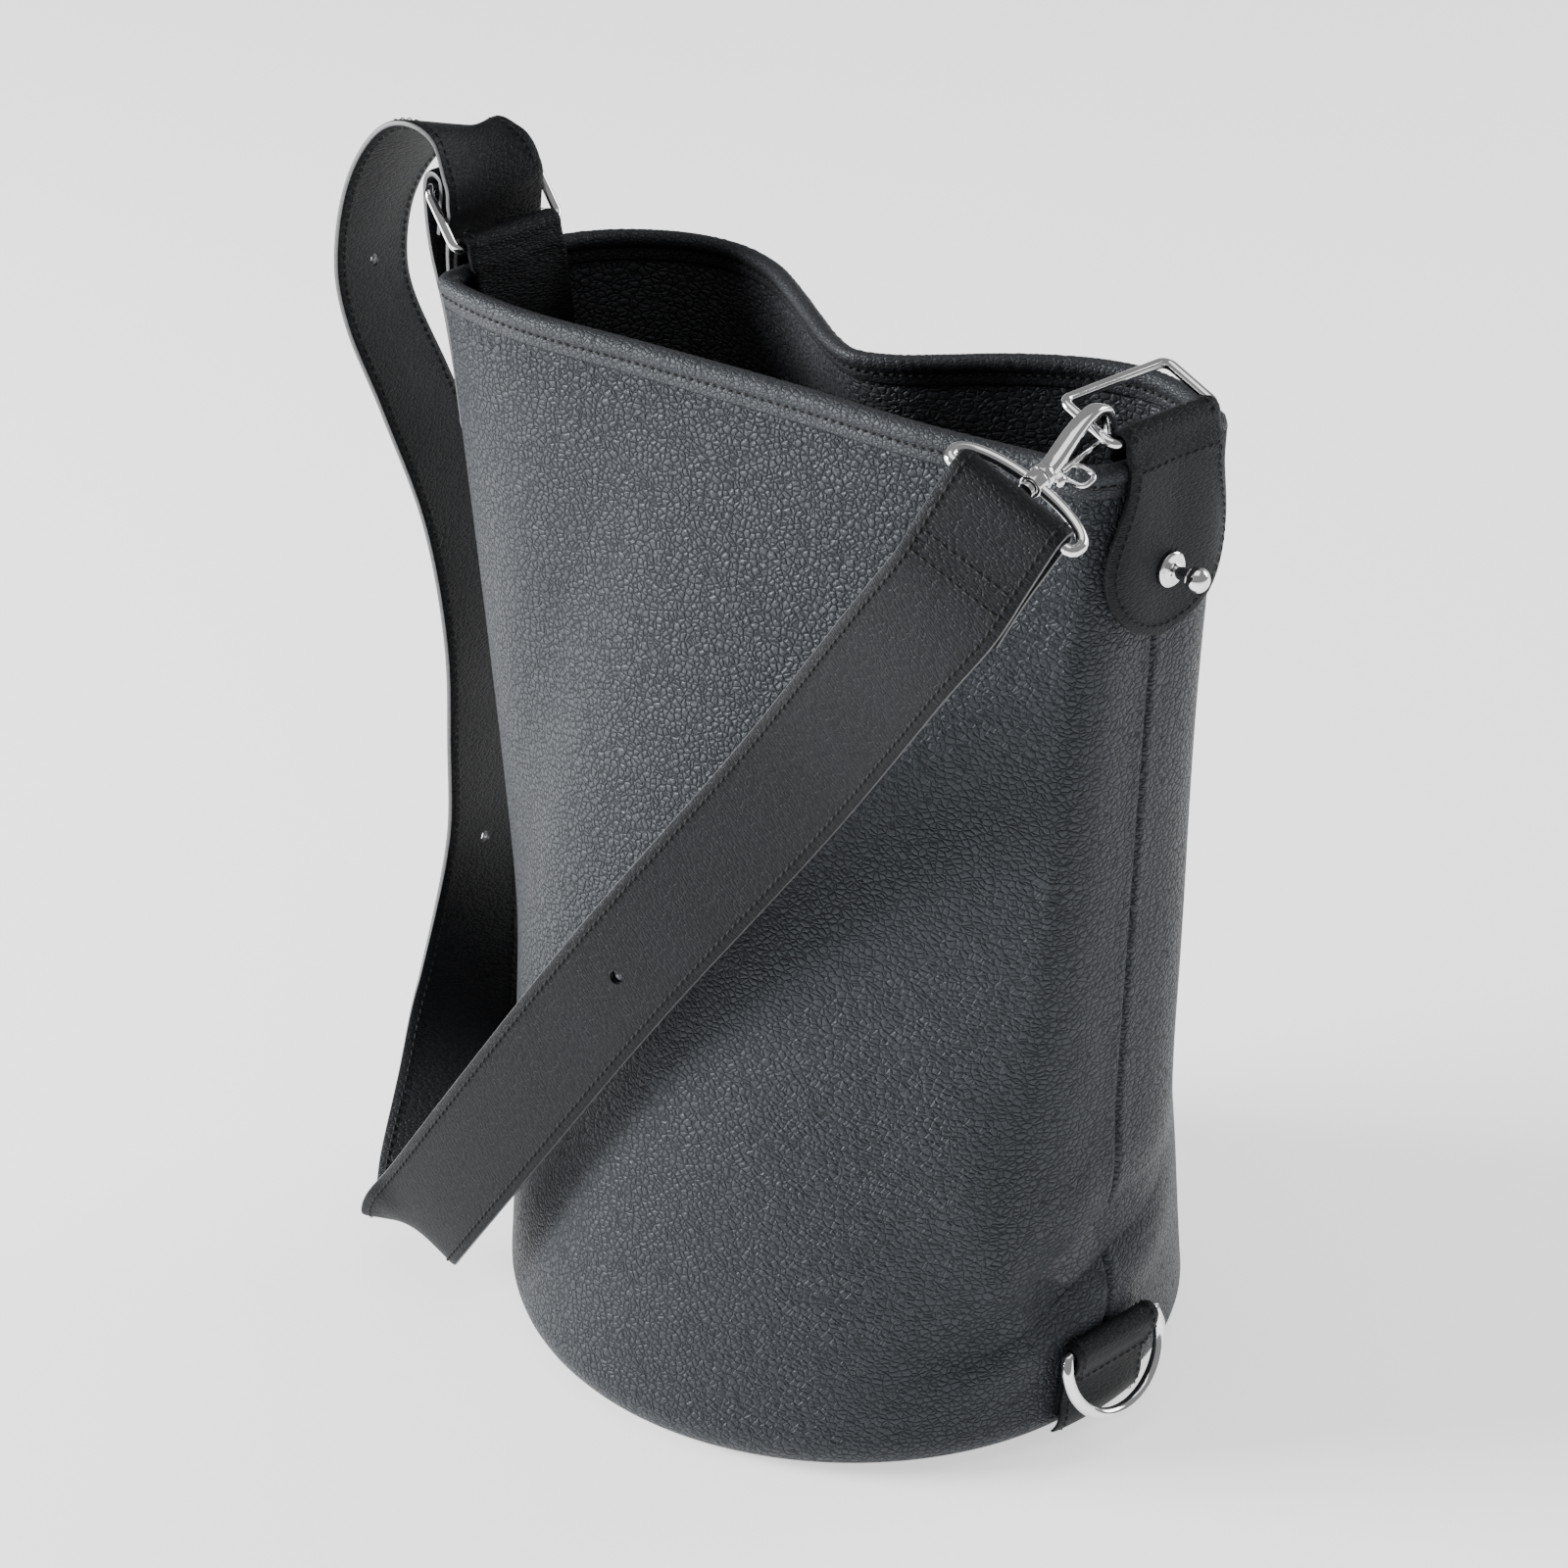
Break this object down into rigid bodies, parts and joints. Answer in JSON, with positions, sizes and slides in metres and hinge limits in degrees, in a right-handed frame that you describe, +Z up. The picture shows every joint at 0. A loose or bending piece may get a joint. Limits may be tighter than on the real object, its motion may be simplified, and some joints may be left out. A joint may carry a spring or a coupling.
{
  "type": "bucket bag",
  "caption": "Leather bucket bag with a soft pinched mouth, rolled rim, side tabs with ball studs, and an adjustable shoulder strap on a swivel snap hook.",
  "frame": {"origin": "centre of the round base's underside, on the surface it stands on", "axes": "+Z up; +X to the right tab, where the strap's hook is; -Y to the front, where the strap crosses the bag"},
  "size_m": [0.3285, 0.2273, 0.4],
  "materials": {
    "grained_leather": "satin",
    "lining_leather": "matte",
    "strap_leather": "satin",
    "stiffener_board": "matte",
    "polished_hardware": "polished"
  },
  "bodies": {
    "bag": {"back_panel": "grained_leather", "front_panel": "grained_leather", "base_panel": "grained_leather", "lining_back": "lining_leather", "lining_front": "lining_leather", "lining_base": "lining_leather", "rim_binding": "strap_leather", "tab_right": "strap_leather", "tab_left": "strap_leather", "strap_outer": "strap_leather", "strap_lining": "strap_leather", "base_tab": "strap_leather", "base_board": "stiffener_board", "stud_right": "polished_hardware", "stud_left": "polished_hardware", "stud_screw_right": "polished_hardware", "stud_screw_left": "polished_hardware"},
    "ring_right": {"ring_right": "polished_hardware"},
    "ring_left": {"ring_left": "polished_hardware"},
    "strap_ring": {"strap_ring": "polished_hardware"},
    "hook": {"hook_body": "polished_hardware", "gate_pin": "polished_hardware"},
    "gate": {"hook_gate": "polished_hardware"},
    "base_dring": {"base_dring": "polished_hardware"}
  },
  "joints": [
    {"name": "ring_right_swing", "type": "hinge", "parent": "bag", "child": "ring_right", "pos_m": [0.12372, -0.01578, 0.358], "axis": [0.1686, 0.9857, 0], "range_deg": [-4, 4]},
    {"name": "ring_left_swing", "type": "hinge", "parent": "bag", "child": "ring_left", "pos_m": [-0.13071, -0.01119, 0.358], "axis": [-0.145, -0.9894, 0], "range_deg": [-1.5, 3]},
    {"name": "strap_ring_swing", "type": "hinge", "parent": "bag", "child": "strap_ring", "pos_m": [0.11172, -0.07811, 0.35184], "axis": [0.9025, 0.0577, -0.4269], "range_deg": [-2, 1]},
    {"name": "hook_swivel", "type": "hinge", "parent": "strap_ring", "child": "hook", "pos_m": [0.11221, -0.06641, 0.35445], "axis": [0.0404, 0.9753, 0.2173], "range_deg": [-6, 12]},
    {"name": "gate_swing", "type": "hinge", "parent": "hook", "child": "gate", "pos_m": [0.11282, -0.05739, 0.35298], "axis": [0.996, -0.0567, 0.0692], "range_deg": [0, 3]},
    {"name": "base_dring_swing", "type": "hinge", "parent": "bag", "child": "base_dring", "pos_m": [0.12117, -0.01911, 0.038], "axis": [0.1602, 0.9871, 0], "range_deg": [-150, 0]}
  ]
}
